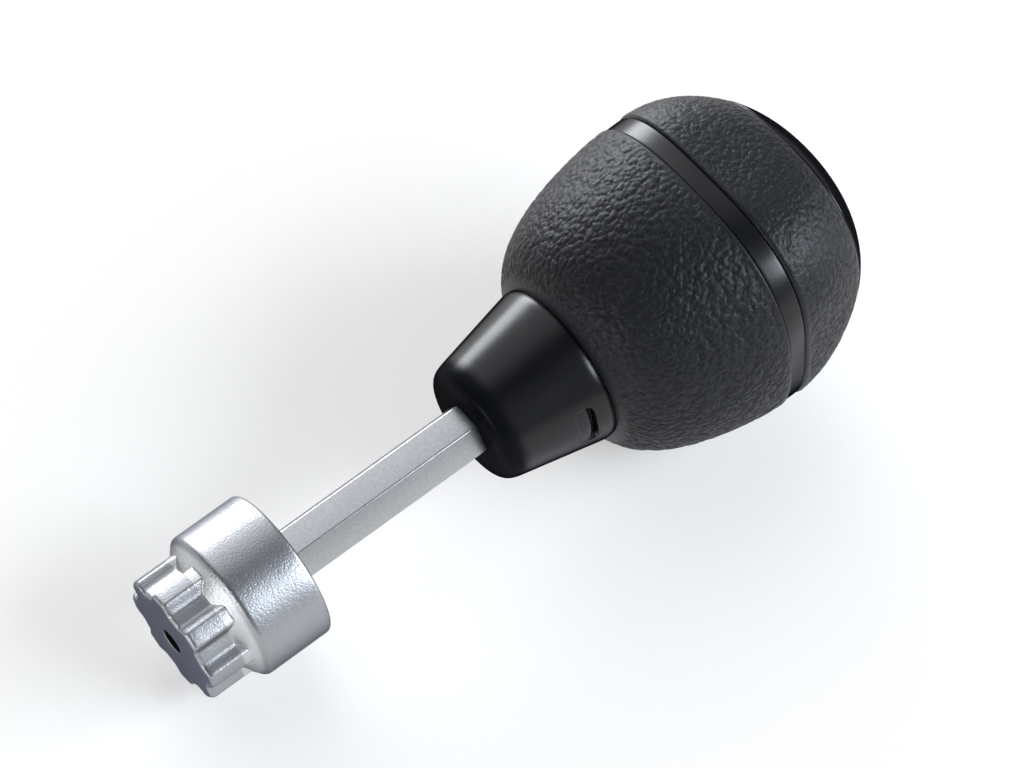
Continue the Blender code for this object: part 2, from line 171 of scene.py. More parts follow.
class CRANKTOOL_PG_tool(bpy.types.PropertyGroup):
    """Everything that can be set."""

    head: PointerProperty(type=CRANKTOOL_PG_head)
    shank: PointerProperty(type=CRANKTOOL_PG_shank)
    handle: PointerProperty(type=CRANKTOOL_PG_handle)
    grip: PointerProperty(type=CRANKTOOL_PG_grip)
    stage: PointerProperty(type=CRANKTOOL_PG_stage)


# Fits and clearances
SEAT_GAP = 0.30 * MM  # between pieces that bear on each other out of sight
TIGHT_GAP = 0.04 * MM  # at the joints that show, drawn as tight as the real ones look
CLEAR = 0.2 * MM  # how far a rule that shapes one form keeps from the next
WIDE_CLEAR = 0.3 * MM
NEAR = 1e-6  # how close a point has to be to count as on a station

# The head. A tip or a root reaches its half angle to each side, and an ease rounds the corner beside it.
SPLINE_COUNT = 8
SPLINE_TIP_HALF = 7.5
SPLINE_ROOT_HALF = 8.0
SPLINE_TIP_EASE = 1.5
SPLINE_ROOT_EASE = 3.0
SPLINE_FOOT_EASE = 0.16 * MM
FOOT_BELOW = 0.35 * MM  # how far the fine rows at the splines' foot reach out past the tips
FOOT_ABOVE = 0.25 * MM  # and how far up the splines
FACE_MARGIN = 0.05 * MM  # inside the front's rounding, where the face has reached the splined outline
HOLE_ROUND = 0.14 * MM
COLLAR_FRONT_ROUND = 0.90 * MM
COLLAR_REAR_ROUND = 0.50 * MM
COLLAR_EDGE = 1.0 * MM  # what the roundings may take at each end of the collar
SOCKET_DEPTH = 6.5 * MM
SOCKET_ROUND = 0.08 * MM
SOCKET_REACH = 7.5 * MM  # radius within which the back of the head belongs to the socket and its face
SOCKET_BLEND = 1.0 * MM  # width of the flat face that is drawn in with a socket's mouth

# The neck
NECK_CORE_RADIUS = 8.60 * MM
NECK_FACE_RADIUS = 4.90 * MM
NECK_ROUND_LENGTH = 3.05 * MM
NECK_ROUND_FACE_PULL = 2.45 * MM
NECK_ROUND_SIDE_PULL = 2.10 * MM
NECK_SOCKET_DEPTH = 7.0 * MM  # as much of the bar's socket as is drawn
NECK_SOCKET_ROUND = 0.06 * MM
NECK_SOCKET_EDGE = 0.1 * MM
POCKET_STATION = 9.95 * MM
POCKET_HALF_LENGTH = 2.80 * MM
POCKET_HALF_WIDTH = 1.15 * MM
POCKET_END_ROUND = 0.90 * MM
POCKET_DEPTH = 1.45 * MM
POCKET_FRONT_STEP = 0.10 * MM
POCKET_FALL = 5  # the higher, the nearer to its rear wall the pocket's floor drops
POCKET_WALL = (0.05 * MM, -0.09 * MM)  # from the pocket's outline to the top and the foot of its wall
POCKET_MARGIN = 0.15 * MM
LIP_ROUND = 2.20 * MM  # of the neck's rear edge
LIP_SHOWN = 17.0  # degrees round that edge to where the rubber meets it
LIP_UNDER = (70.0, 55.0, 40.0, 28.0)  # degrees round it that the rubber's inner corner follows
LIP_GAP = 0.01 * MM

# The ball. A pull says how far an end of an outline curve holds its direction.
BALL_LEAD_ANGLE = 77.7  # degrees between the ball's first slope behind the neck and the axis
FRONT_SHOULDER_PULL = 0.825
FRONT_WAIST_PULL = 0.150
REAR_WAIST_PULL = 0.900
REAR_END_PULL = 0.447
LOBE_COUNT = 4
LOBES_BEHIND_BAND = 4.80 * MM
LOBE_REACH = 7.76 * MM
FRONT_SKIN_ROUNDS = (0.05 * MM, 0.30 * MM)  # of the edges toward the head and toward the end
REAR_SKIN_ROUNDS = (0.60 * MM, 0.40 * MM)
BAND_ROUND = 0.14 * MM
CAP_ROUND = 0.12 * MM
SPIGOT_RADIUS = 5.0 * MM
SPIGOT_LENGTH = 4.0 * MM

# The leather grain, in widths of a pebble. A drift is how often and how far noise moves its cells.
GRAIN_SEED = 7  # without it the noise would follow the clock
PEBBLE_STRETCH = 0.72  # of the coordinates along the tool, so the pebbles are longer that way
PEBBLE_RADIUS = 0.80
SLOW_DRIFT = (0.55, 0.60)
QUICK_DRIFT = (1.7, 0.18)
CREASE_WIDTH = 0.24
WRINKLES_PER_PEBBLE = 2.1
WRINKLE_DRIFT = (3.1, 0.3)
WRINKLE_WIDTH = 0.30
CREASE_SHARE = 0.50
DOME_SHARE = 0.26
WRINKLE_SHARE = 0.24
FRONT_GRAIN_MARGINS = (1.0 * MM, 1.1 * MM)  # over which the grain fades out toward a skin's two rims
REAR_GRAIN_MARGINS = (1.4 * MM, 0.6 * MM)
OUTER_SIDE = (0.0, 0.25)  # how far a skin's surface faces outward where its grain sets in

# Rows of points along the outlines, and columns of them round the axis
ARC_STEPS = 6
FLAT_STEPS = 4
FOOT_STEPS = 28
COLLAR_STEPS = 6
BAR_ROUND_STEPS = 5
NECK_FACE_STEPS = 5
NECK_ROUND_STEPS = 20
NECK_STEPS = 8
POCKET_STEPS = 40
BEHIND_POCKET_STEPS = 3
LIP_STEPS = 12
BODY_STEPS = 6
FRONT_SKIN_STEPS = 134
REAR_SKIN_STEPS = 100
INNER_SKIN_STEPS = 5
CAP_STEPS = 60
COLUMNS = 720
SKIN_COLUMNS = 608
CAP_COLUMNS = 384
DOUBLINGS = 4
BALL_STEPS = 400  # of the fine outline that the rows are measured on
ROUND_SPACE = 1.1  # of an end's rounding, kept free of rows
HALVINGS = 50  # of the outline, until a station is found
MERGE_DISTANCE = 1e-7
SHARP_ANGLE = 35.0

# Gloss and roughness
STEEL_EDGE = (0.10, 0.10, 0.12)  # tint of the plated steel at a glancing view
BAR_EDGE = (0.35, 0.35, 0.38)
PLATE_ROUGHNESS = 0.28
BAR_ROUGHNESS = 0.22
PLASTIC_ROUGHNESS = 0.20
PLASTIC_GLOSS = 0.40
PLASTIC_FADE = (0.52, 0.85)  # how far the plastic turns from the eye while its gloss dies away
MATT_GAIN = 1.6  # of the colour where the gloss is gone
MATT_SHARE = 0.90
MATT_REACH = (-3.2 * MM, -1.6 * MM)  # where the neck's gloss gives way to its matt front
CAP_ROUGHNESS = 0.10
CAP_GLOSS = 0.45
CAP_FADE = (0.35, 0.72)
RUBBER_ROUGHNESS = 0.54
RUBBER_GLOSS = 0.28

# Widths of what shows in each finish, and the depth of its bump
PLATE_GRAIN = 0.26 * MM
PLATE_PITS = 0.38 * MM
PLATE_CLOUDS = 2.6 * MM
PLATE_DEPTH = 0.048 * MM
BAR_LINES = 0.18 * MM
BAR_GRAIN = 0.16 * MM
BAR_SPECKLE = 0.24 * MM
BAR_CLOUDS = 4.0 * MM
BAR_DEPTH = 0.012 * MM
PLASTIC_WAVES = 3.0 * MM
PLASTIC_GRAIN = 0.16 * MM
PLASTIC_DEPTH = 0.012 * MM
CAP_WAVES = 4.0 * MM
CAP_SCUFFS = 0.25 * MM
CAP_DEPTH = 0.008 * MM
RUBBER_TOOTH = 0.36 * MM
RUBBER_CREASES = 0.52 * MM
RUBBER_DRIFT = (0.9 * MM, 0.7 * MM)  # width and reach of the noise that bends those creases
RUBBER_CLOUDS = 5.0 * MM
RUBBER_DEPTH = 0.058 * MM
PAPER_FIBRE = 0.8 * MM

# Parts of the head that look different, as the stretch past a station over which they set in: the painted
# dark face, the painted bright cone, the rougher nose and the painted shade in the hole
FACE_START = (-0.05 * MM, -0.01 * MM)
CONE_START = (0.3 * MM, 0.7 * MM)
CONE_END = (0.4 * MM, -0.1 * MM)
NOSE_START = (-0.4 * MM, 0.0)
BORE_START = (0.05 * MM, 0.0)
PAINTED_BORE_SHADE = (0.05, 0.05, 0.055)  # painted shade inside the nose's hole


def bezier(a, b, c, d, u):
    v = 1 - u
    return a * v**3 + b * (3 * v * v * u) + c * (3 * v * u * u) + d * u**3


def bezier_slope(a, b, c, d, u):
    v = 1 - u
    return (b - a) * (3 * v * v) + (c - b) * (6 * v * u) + (d - c) * (3 * u * u)


def rounded(corners, closed=False):
    """A (radius, z) outline through corners given as (radius, z, round), with an arc at each round one."""
    count = len(corners)
    outline = []
    for i, (r, z, size) in enumerate(corners):
        here = Vector((r, z))
        if not size or not (closed or 0 < i < count - 1):
            outline.append(here)
            continue
        before = (Vector(corners[i - 1][:2]) - here).normalized()
        after = (Vector(corners[(i + 1) % count][:2]) - here).normalized()
        half = before.angle(after) / 2
        middle = here + (before + after).normalized() * (size / math.sin(half))
        start = here + before * (size / math.tan(half)) - middle
        sweep = start.angle_signed(here + after * (size / math.tan(half)) - middle)
        for step in range(ARC_STEPS + 1):
            arm = start.copy()
            arm.rotate(Matrix.Rotation(-sweep * step / ARC_STEPS, 2))
            outline.append(middle + arm)
    return outline


def between(start, end, steps):
    """Corners evenly along a straight run, without its two ends."""
    return [
        (start[0] + (end[0] - start[0]) * i / steps, start[1] + (end[1] - start[1]) * i / steps, 0.0)
        for i in range(1, steps)
    ]


def spun(outline, columns=COLUMNS, closed=False):
    """The skin that the outline sweeps round the tool's axis: a sixteenth of it is spun, then doubled."""
    bm = bmesh.new()
    verts = [bm.verts.new((p.x, 0.0, p.y)) for p in outline]
    edges = [bm.edges.new(pair) for pair in zip(verts, verts[1:])]
    if closed:
        edges.append(bm.edges.new((verts[-1], verts[0])))
    sweep = math.tau / 2**DOUBLINGS
    bmesh.ops.spin(
        bm,
        geom=verts + edges,
        cent=(0, 0, 0),
        axis=(0, 0, 1),
        angle=sweep,
        steps=columns // 2**DOUBLINGS,
    )
    for i in range(DOUBLINGS):
        copied = bmesh.ops.duplicate(bm, geom=bm.verts[:] + bm.edges[:] + bm.faces[:])["geom"]
        bmesh.ops.rotate(
            bm,
            cent=(0, 0, 0),
            matrix=Matrix.Rotation(sweep * 2**i, 3, "Z"),
            verts=[v for v in copied if isinstance(v, bmesh.types.BMVert)],
        )
    bmesh.ops.remove_doubles(bm, verts=bm.verts, dist=MERGE_DISTANCE)
    bmesh.ops.recalc_face_normals(bm, faces=bm.faces)
    return bm


def mesh_of(bm, name):
    mesh = bpy.data.meshes.new(name)
    bm.to_mesh(mesh)
    bm.free()
    mesh.shade_smooth()
    mesh.set_sharp_from_angle(angle=math.radians(SHARP_ANGLE))
    return mesh


def points_of(mesh, field="co"):
    values = np.empty(len(mesh.vertices) * 3, np.float32)
    mesh.vertices.foreach_get(field, values)
    return values.reshape(-1, 3).astype(float)


def move_points(mesh, points):
    mesh.vertices.foreach_set("co", points.astype(np.float32).ravel())
    mesh.update()


def reshape(mesh, rule):
    """Moves each point in or out from the axis to the radius that rule(radius, angle, z) gives."""
    points = points_of(mesh)
    radius = np.hypot(points[:, 0], points[:, 1])
    angle = np.arctan2(points[:, 1], points[:, 0])
    grown = rule(radius, angle, points[:, 2])
    points[:, 0] = grown * np.cos(angle)
    points[:, 1] = grown * np.sin(angle)
    move_points(mesh, points)


def smooth(low, high, x):
    t = np.clip((x - low) / (high - low), 0.0, 1.0)
    return t * t * (3 - 2 * t)


def eased(x, width):
    """The larger of x and 0, with the corner eased over width to each side."""
    return np.where(x < -width, 0.0, np.where(x > width, x, (x + width) ** 2 / (4 * width)))


def hex_outline(angle, apothem):
    """Distance from the axis to a hexagon with a flat toward the floor."""
    sixth = math.pi / 3
    return apothem / np.cos((angle + sixth / 2) % sixth - sixth / 2)


class Shape:
    """Stations and outlines worked out from the settings."""

    def __init__(self, tool):
        head, shank, handle = tool.head, tool.shank, tool.handle
        self.tool = tool
        self.collar_rear = shank.exposed
        self.collar_front = self.collar_rear + head.collar_length
        self.rise = math.tan(head.shoulder)
        self.spline_foot = self.collar_front + (head.collar_radius - head.root_radius) * self.rise
        self.nose = self.spline_foot + head.spline_length
        self.neck_slope = (handle.neck_rear_radius - handle.neck_front_radius) / handle.neck_length
        self.socket_apothem = shank.across_flats / 2 + TIGHT_GAP
        self.socket_radius = self.socket_apothem / math.cos(math.pi / 6)
        self.band_front = -handle.band_station
        self.band_rear = -(handle.band_station + handle.band_width)
        self.core_end = handle.cap_length - handle.ball_end
        self.lobe_middle = (self.band_front + self.band_rear) / 2 - LOBES_BEHIND_BAND
        self.grip_start = -(handle.neck_length + LIP_GAP)
        self.cap_start = self.core_end - TIGHT_GAP
        lip_z = LIP_ROUND * math.sin(math.radians(LIP_SHOWN)) - handle.neck_length
        lip_radius = self.neck_skin(lip_z) - LIP_ROUND * math.hypot(1.0, self.neck_slope)
        self.lip_middle = Vector((lip_radius, lip_z))
        self.curves = self.ball_curves()

    def neck_skin(self, z):
        return self.tool.handle.neck_front_radius - self.neck_slope * z

    def lip_point(self, degrees, gap=0.0):
        """On the neck's rounded rear edge or a gap outside it, from 0 where it is widest to 90 at its end."""
        around = math.radians(degrees)
        return self.lip_middle + Vector((math.cos(around), -math.sin(around))) * (LIP_ROUND + gap)

    def ball_curves(self):
        """The two outline curves of the ball: neck to widest section, and on to the end."""
        handle = self.tool.handle
        start = Vector((self.lip_point(LIP_SHOWN).x, self.grip_start))
        widest = Vector((handle.ball_radius, -handle.ball_widest))
        end = Vector((0.0, -handle.ball_end))
        lead = math.radians(BALL_LEAD_ANGLE)
        rise = widest.x - start.x
        front = (
            start,
            start + Vector((math.sin(lead), -math.cos(lead))) * (FRONT_SHOULDER_PULL * rise),
            widest + Vector((0.0, FRONT_WAIST_PULL * (start.y - widest.y))),
            widest,
        )
        rear = (
            widest,
            widest - Vector((0.0, REAR_WAIST_PULL * (widest.y - end.y))),
            end + Vector((REAR_END_PULL * widest.x, 0.0)),
            end,
        )
        return front, rear

    def ball_point(self, t, inset=0.0):
        """On the ball's outline or an inset under it: t runs to 1 at the widest section and 2 at the end."""
        curve = self.curves[0] if t <= 1 else self.curves[1]
        u = t if t <= 1 else t - 1
        slope = bezier_slope(*curve, u).normalized()
        return bezier(*curve, u) + Vector((slope.y, -slope.x)) * inset

    def ball_t(self, z, inset=0.0):
        """Where the ball's outline passes the station z."""
        low, high = 0.0, 2.0
        for _ in range(HALVINGS):
            middle = (low + high) / 2
            if self.ball_point(middle, inset).y > z:
                low = middle
            else:
                high = middle
        return (low + high) / 2

    def ball_run(self, z_from, z_to, steps, inset=0.0, rounds=(0.0, 0.0)):
        """Corners along the ball's outline, evenly spaced by length, with its two ends rounded over."""
        first, last = self.ball_t(z_from, inset), self.ball_t(z_to, inset)
        fine = [
            self.ball_point(first + (last - first) * i / BALL_STEPS, inset) for i in range(BALL_STEPS + 1)
        ]
        along = np.concatenate([[0.0], np.cumsum([(b - a).length for a, b in zip(fine, fine[1:])])])
        inner = np.linspace(0.0, along[-1], steps + 1)[1:-1]
        inner = inner[(inner > rounds[0] * ROUND_SPACE) & (inner < along[-1] - rounds[1] * ROUND_SPACE)]
        marks = np.concatenate([[0.0], inner, [along[-1]]])
        radii = np.interp(marks, along, [p.x for p in fine])
        heights = np.interp(marks, along, [p.y for p in fine])
        run = [(float(r), float(z), 0.0) for r, z in zip(radii, heights)]
        run[0] = (*run[0][:2], rounds[0])
        run[-1] = (*run[-1][:2], rounds[1])
        return run

    def lobed(self, radius, angle, z):
        """The radius with the ball's lobes, which are highest behind the band and fade out to both sides."""
        swell = self.tool.handle.lobes * np.exp(-(((z - self.lobe_middle) / LOBE_REACH) ** 2))
        return radius * (1 - swell * np.cos(LOBE_COUNT * angle))

    def spline_outline(self, angle):
        """Distance from the axis to the splined nose's side."""
        head = self.tool.head
        pitch = 360.0 / SPLINE_COUNT
        off = np.degrees(angle - head.first_spline)
        off = np.abs((off + pitch / 2) % pitch - pitch / 2)
        root_edge = pitch / 2 - SPLINE_ROOT_HALF
        fall = eased(off - SPLINE_TIP_HALF, SPLINE_TIP_EASE) - eased(off - root_edge, SPLINE_ROOT_EASE)
        return head.tip_radius - (head.tip_radius - head.root_radius) * fall / (root_edge - SPLINE_TIP_HALF)


def placement(shape):
    """Where the tool lies, from the point and direction that the record gives for the nose's flat face."""
    mount = next(m for m in frame["record"]["mounts"] if m["name"] == "nose_face")
    forward = Vector(mount["axis"]).normalized()
    centre = Vector((mount["pos_m"][0], 0.0, mount["pos_m"][2]))
    down = math.asin(-forward.z)
    return Matrix.Translation(centre - forward * shape.nose) @ Matrix.Rotation(math.pi / 2 + down, 4, "Y")


def show(context, shape, mesh, material, node):
    """Puts a finished piece in its place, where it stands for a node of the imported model."""
    mesh.transform(placement(shape))
    mesh.materials.append(material)
    piece = bpy.data.objects.new(mesh.name, mesh)
    context.scene.collection.objects.link(piece)
    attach(piece, BODY)
    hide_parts(node)


class Wire:
    """A node's output that takes part in sums like a number."""

    def __init__(self, finish, socket):
        self.finish = finish
        self.socket = socket

    def maths(self, operation, first, second):
        return self.finish.add("ShaderNodeMath", {"operation": operation}, {0: first, 1: second})

    def __add__(self, other):
        return self.maths("ADD", self, other)

    def __radd__(self, other):
        return self.maths("ADD", other, self)

    def __sub__(self, other):
        return self.maths("SUBTRACT", self, other)

    def __rsub__(self, other):
        return self.maths("SUBTRACT", other, self)

    def __mul__(self, other):
        return self.maths("MULTIPLY", self, other)

    def __rmul__(self, other):
        return self.maths("MULTIPLY", other, self)


class Nodes:
    """The nodes of a material, a light or the world."""

    def __init__(self, owner):
        owner.use_nodes = True
        self.nodes = owner.node_tree.nodes
        self.links = owner.node_tree.links

    def plug(self, value, socket):
        if isinstance(value, Wire):
            self.links.new(value.socket, socket)
        else:
            socket.default_value = value

    def add(self, kind, settings=None, sockets=None, out=0):
        node = self.nodes.new(kind)
        for name, value in (settings or {}).items():
            if name == "stops":
                self.set_stops(node.color_ramp, value)
            else:
                setattr(node, name, value)
        for key, value in (sockets or {}).items():
            self.plug(value, node.inputs[key])
        return Wire(self, node.outputs[out])

    @staticmethod
    def set_stops(ramp, stops):
        for element, (position, value) in zip(ramp.elements, stops):
            element.position = position
            element.color = (value, value, value, 1.0)
        for position, value in stops[2:]:
            ramp.elements.new(position).color = (value, value, value, 1.0)

    def ramp(self, factor, *stops):
        return self.add("ShaderNodeValToRGB", {"stops": stops}, {"Fac": factor})

    def smooth_step(self, value, low, high, top=1.0):
        """From 0 at low to top at high, with both ends eased."""
        return self.add(
            "ShaderNodeMapRange",
            {"interpolation_type": "SMOOTHSTEP"},
            {"Value": value, "From Min": low, "From Max": high, "To Max": top},
        )

    def dot(self, vector, axis):
        settings = {"operation": "DOT_PRODUCT"}
        return self.add("ShaderNodeVectorMath", settings, {0: vector, 1: axis}, out="Value")


class Finish(Nodes):
    """A material and the nodes that make it."""

    def __init__(self, name):
        self.material = bpy.data.materials.new(name)
        super().__init__(self.material)
        self.shader = self.nodes["Principled BSDF"]
        self.output = self.nodes["Material Output"]

    def mix(self, factor, first, second):
        return self.add("ShaderNodeMix", {"data_type": "RGBA"}, {0: factor, 6: first, 7: second}, out=2)

    def place(self, shape):
        """Coordinates along the tool's own axes, in metres."""
        home = placement(shape)
        coordinates = self.add("ShaderNodeTexCoord", out="Object")
        return self.add(
            "ShaderNodeMapping",
            {"vector_type": "TEXTURE"},
            {"Vector": coordinates, "Location": home.to_translation(), "Rotation": home.to_euler()},
        )

    def stretched(self, vector, scale):
        return self.add("ShaderNodeVectorMath", {"operation": "MULTIPLY"}, {0: vector, 1: scale})

    def reach(self, vector):
        """Distance from where the vector starts."""
        return self.add("ShaderNodeVectorMath", {"operation": "LENGTH"}, {0: vector}, out="Value")

    def warped(self, vector, size, amount):
        """The coordinates, pushed about by noise."""
        push = self.add("ShaderNodeTexNoise", {}, {"Vector": vector, "Scale": 1 / size}, out="Color")
        sockets = {0: push, 1: (amount,) * 3, 2: vector}
        return self.add("ShaderNodeVectorMath", {"operation": "MULTIPLY_ADD"}, sockets)

    def noise(self, vector, size, detail=2.0, rough=0.5):
        """Even noise with features about size metres wide."""
        return self.add(
            "ShaderNodeTexNoise",
            {"noise_dimensions": "3D"},
            {"Vector": vector, "Scale": 1 / size, "Detail": detail, "Roughness": rough},
        )

    def cells(self, vector, size, feature="F1"):
        return self.add("ShaderNodeTexVoronoi", {"feature": feature}, {"Vector": vector, "Scale": 1 / size})

    def bump(self, height, distance, strength):
        sockets = {"Height": height, "Distance": distance, "Strength": strength}
        return self.add("ShaderNodeBump", {}, sockets)

    def sets_in(self, measure, station, stretch):
        """From 0 to 1 over the stretch from a station."""
        return self.smooth_step(measure, station + stretch[0], station + stretch[1])

    def facing(self):
        """How far the surface turns from the eye, 0 to 1."""
        return self.add("ShaderNodeLayerWeight", {}, {"Blend": 0.5}, "Facing")

    def dulled(self, amount, value):
        """Lets the gloss give way to a matt colour by the given amount."""
        glossy = Wire(self, self.shader.outputs[0])
        matt = self.add("ShaderNodeBsdfDiffuse", {}, {"Color": value})
        shown = self.add("ShaderNodeMixShader", {}, {0: amount, 1: glossy, 2: matt})
        self.plug(shown, self.output.inputs["Surface"])
        return self.material

    def surface(self, **values):
        """Sets or links the shader's own sockets, named with underscores for spaces."""
        for name, value in values.items():
            self.plug(value, self.shader.inputs[name.replace("_", " ").title().replace("Ior", "IOR")])
        return self.material


def rgba(value, gain=1.0):
    return (*(min(1.0, channel * gain) for channel in value), 1.0)


def plated_steel(shape):
    """Satin plate over a fine blasted grain, with a painted highlight on the shoulder, a painted dark
    reflection on the front and painted shade in the hole.
    """
    head = shape.tool.head
    finish = Finish("plated_steel")
    where = finish.place(shape)
    grain = finish.noise(where, PLATE_GRAIN, detail=3.0, rough=0.65)
    pits = finish.ramp(finish.cells(where, PLATE_PITS), (0.10, 0.0), (0.45, 1.0))
    cloud = finish.noise(where, PLATE_CLOUDS, detail=2.0)
    plate = finish.mix(grain * 0.4 + cloud * 0.3, rgba(head.steel, 1.06), rgba(head.steel, 0.84))
    along = finish.dot(where, TOOL_AXIS)
    face = finish.sets_in(along, shape.nose, FACE_START)
    cone = finish.sets_in(along, shape.collar_front, CONE_START)
    cone = cone * finish.sets_in(along, shape.spline_foot, CONE_END)
    # the shoulder cone painted bright, a painted highlight
    turned = finish.mix(cone, plate, rgba(head.painted_bright_cone))
    # the front face painted dark, a painted dark reflection
    faced = finish.mix(face, turned, rgba(head.painted_dark_face))
    nose = finish.sets_in(along, shape.spline_foot, NOSE_START)
    out = finish.reach(finish.stretched(where, (1.0, 1.0, 0.0)))
    # the inside of the hole is painted dark, painted shade
    bore = finish.sets_in(out, head.hole_radius, BORE_START)
    return finish.surface(
        base_color=finish.mix(bore, faced, rgba(PAINTED_BORE_SHADE)),
        metallic=1.0,
        specular_tint=rgba(STEEL_EDGE),
        roughness=PLATE_ROUGHNESS + grain * 0.14 + cloud * 0.05 + nose * 0.05,
        normal=finish.bump(grain * 0.75 + pits * 0.25, PLATE_DEPTH, 0.9),
    )


def drawn_bar(shape):
    """Satin plated bar: a fine speckle, and faint lines along it."""
    steel = shape.tool.shank.steel
    finish = Finish("drawn_bar")
    where = finish.place(shape)
    lines = finish.noise(finish.stretched(where, (1.0, 1.0, 0.05)), BAR_LINES, detail=2.0)
    grain = finish.noise(where, BAR_GRAIN, detail=2.0, rough=0.6)
    speckle = finish.ramp(finish.noise(where, BAR_SPECKLE, detail=2.0), (0.35, 0.0), (0.65, 1.0))
    cloud = finish.noise(where, BAR_CLOUDS)
    return finish.surface(
        base_color=finish.mix(speckle, rgba(steel, 1.08), rgba(steel, 0.92)),
        metallic=1.0,
        specular_tint=rgba(BAR_EDGE),
        roughness=BAR_ROUGHNESS + grain * 0.10 + cloud * 0.05,
        normal=finish.bump(grain * 0.8 + lines * 0.2, BAR_DEPTH, 0.8),
    )


def moulded_plastic(shape):
    """Hard black plastic, semi-gloss with the slight waviness of a moulding, and matt on the neck's front."""
    finish = Finish("moulded_plastic")
    where = finish.place(shape)
    waves = finish.noise(where, PLASTIC_WAVES, detail=1.0)
    grain = finish.noise(where, PLASTIC_GRAIN, detail=2.0)
    plastic = shape.tool.handle.plastic
    finish.surface(
        base_color=finish.mix(waves, rgba(plastic, 0.85), rgba(plastic, 1.25)),
        roughness=PLASTIC_ROUGHNESS + grain * 0.08 + waves * 0.05,
        specular_ior_level=PLASTIC_GLOSS,
        normal=finish.bump(grain * 0.4 + waves, PLASTIC_DEPTH, 0.6),
    )
    matt = finish.smooth_step(finish.dot(where, TOOL_AXIS), *MATT_REACH, top=MATT_SHARE)
    turned = finish.smooth_step(finish.facing(), *PLASTIC_FADE)
    return finish.dulled(matt + turned - matt * turned, rgba(plastic, MATT_GAIN))


def glossy_plastic(shape):
    """The end cap's polished plastic, with a few fine scuffs."""
    finish = Finish("glossy_plastic")
    where = finish.place(shape)
    waves = finish.noise(where, CAP_WAVES, detail=1.0)
    scuffs = finish.noise(finish.stretched(where, (1.0, 0.12, 1.0)), CAP_SCUFFS, detail=3.0)
    plastic = shape.tool.handle.cap_plastic
    finish.surface(
        base_color=finish.mix(waves, rgba(plastic, 0.9), rgba(plastic, 1.2)),
        roughness=CAP_ROUGHNESS + finish.ramp(scuffs, (0.55, 0.0), (0.8, 1.0)) * 0.12,
        specular_ior_level=CAP_GLOSS,
        normal=finish.bump(waves, CAP_DEPTH, 0.4),
    )
    return finish.dulled(finish.smooth_step(finish.facing(), *CAP_FADE), rgba(plastic))


def grained_rubber(shape):
    """Rubber with a leather grain: painted shade down in the creases, which are duller too, with a fine tooth
    all over.
    """
    finish = Finish("grained_rubber")
    where = finish.place(shape)
    height = finish.add("ShaderNodeAttribute", {"attribute_name": "grain"}, out="Fac")
    tooth = finish.noise(where, RUBBER_TOOTH, detail=4.0, rough=0.65)
    edges = finish.cells(finish.warped(where, *RUBBER_DRIFT), RUBBER_CREASES, "DISTANCE_TO_EDGE")
    creases = finish.ramp(edges, (0.0, 0.0), (0.16, 1.0))
    cloud = finish.noise(where, RUBBER_CLOUDS)
    rubber = shape.tool.grip.rubber
    return finish.surface(
        # painted shade: the colour darkens down in the grain's creases, mixed with a random cloudy tone
        base_color=finish.mix(height * 0.7 + cloud * 0.3, rgba(rubber, 0.35), rgba(rubber, 1.30)),
        roughness=RUBBER_ROUGHNESS - height * 0.20 + tooth * 0.08,
        specular_ior_level=RUBBER_GLOSS,
        normal=finish.bump(tooth * 0.65 + creases * 0.35, RUBBER_DEPTH, 0.8),
    )


def head_mesh(shape):
    """Splined nose, conical shoulder and collar, with the hexagonal socket in the back."""
    head = shape.tool.head
    tip, edge, hole = head.tip_radius, head.front_round, head.hole_radius
    collar, socket = head.collar_radius, shape.socket_radius
    foot, nose, rise = shape.spline_foot, shape.nose, shape.rise
    front, back = shape.collar_front, shape.collar_rear
    blend_low = foot - (tip - head.root_radius + FOOT_BELOW) * rise
    blend_high = foot + FOOT_ABOVE
    blend = []
    for i in range(FOOT_STEPS + 1):
        z = blend_high + (blend_low - blend_high) * i / FOOT_STEPS
        blend.append((max(tip, head.root_radius + (foot - z) / rise), z, 0.0))
    floor = nose - head.hole_depth
    outline = rounded(
        [
            (0.0, floor - hole / 2, 0.0),
            (hole, floor, 0.0),
            (hole, nose - WIDE_CLEAR, 0.0),
            (hole, nose, HOLE_ROUND),
            *between((hole + CLEAR, nose), (tip - edge, nose), FLAT_STEPS),
            (tip, nose, edge),
            *between((tip, nose - edge), (tip, blend_high), FLAT_STEPS),
            *blend,
            (collar, front, COLLAR_FRONT_ROUND),
            *between((collar, front - COLLAR_EDGE), (collar, back + COLLAR_EDGE), COLLAR_STEPS),
            (collar, back, COLLAR_REAR_ROUND),
            *between((collar - COLLAR_EDGE, back), (socket, back), FLAT_STEPS),
            (socket, back, SOCKET_ROUND),
            (socket, back + SOCKET_DEPTH, 0.0),
            (0.0, back + SOCKET_DEPTH, 0.0),
        ]
    )
    mesh = mesh_of(spun(outline), "nose_and_collar")

    def rule(radius, angle, z):
        splines = shape.spline_outline(angle)
        inward = smooth(hole + WIDE_CLEAR, tip - edge - FACE_MARGIN, radius)
        face = radius - (tip - splines) * inward
        cone = head.root_radius + (foot - z) / rise
        side = splines + eased(cone - splines, SPLINE_FOOT_EASE)
        rear = rear_face(shape, radius, angle)
        on_side = (z <= blend_high + NEAR) & (z >= blend_low - NEAR)
        grown = np.where(z < blend_low - NEAR, radius, np.where(on_side, side, face))
        in_back = (z < back + SOCKET_DEPTH + NEAR) & (radius < SOCKET_REACH)
        return np.where(in_back, rear, grown)

    reshape(mesh, rule)
    return mesh


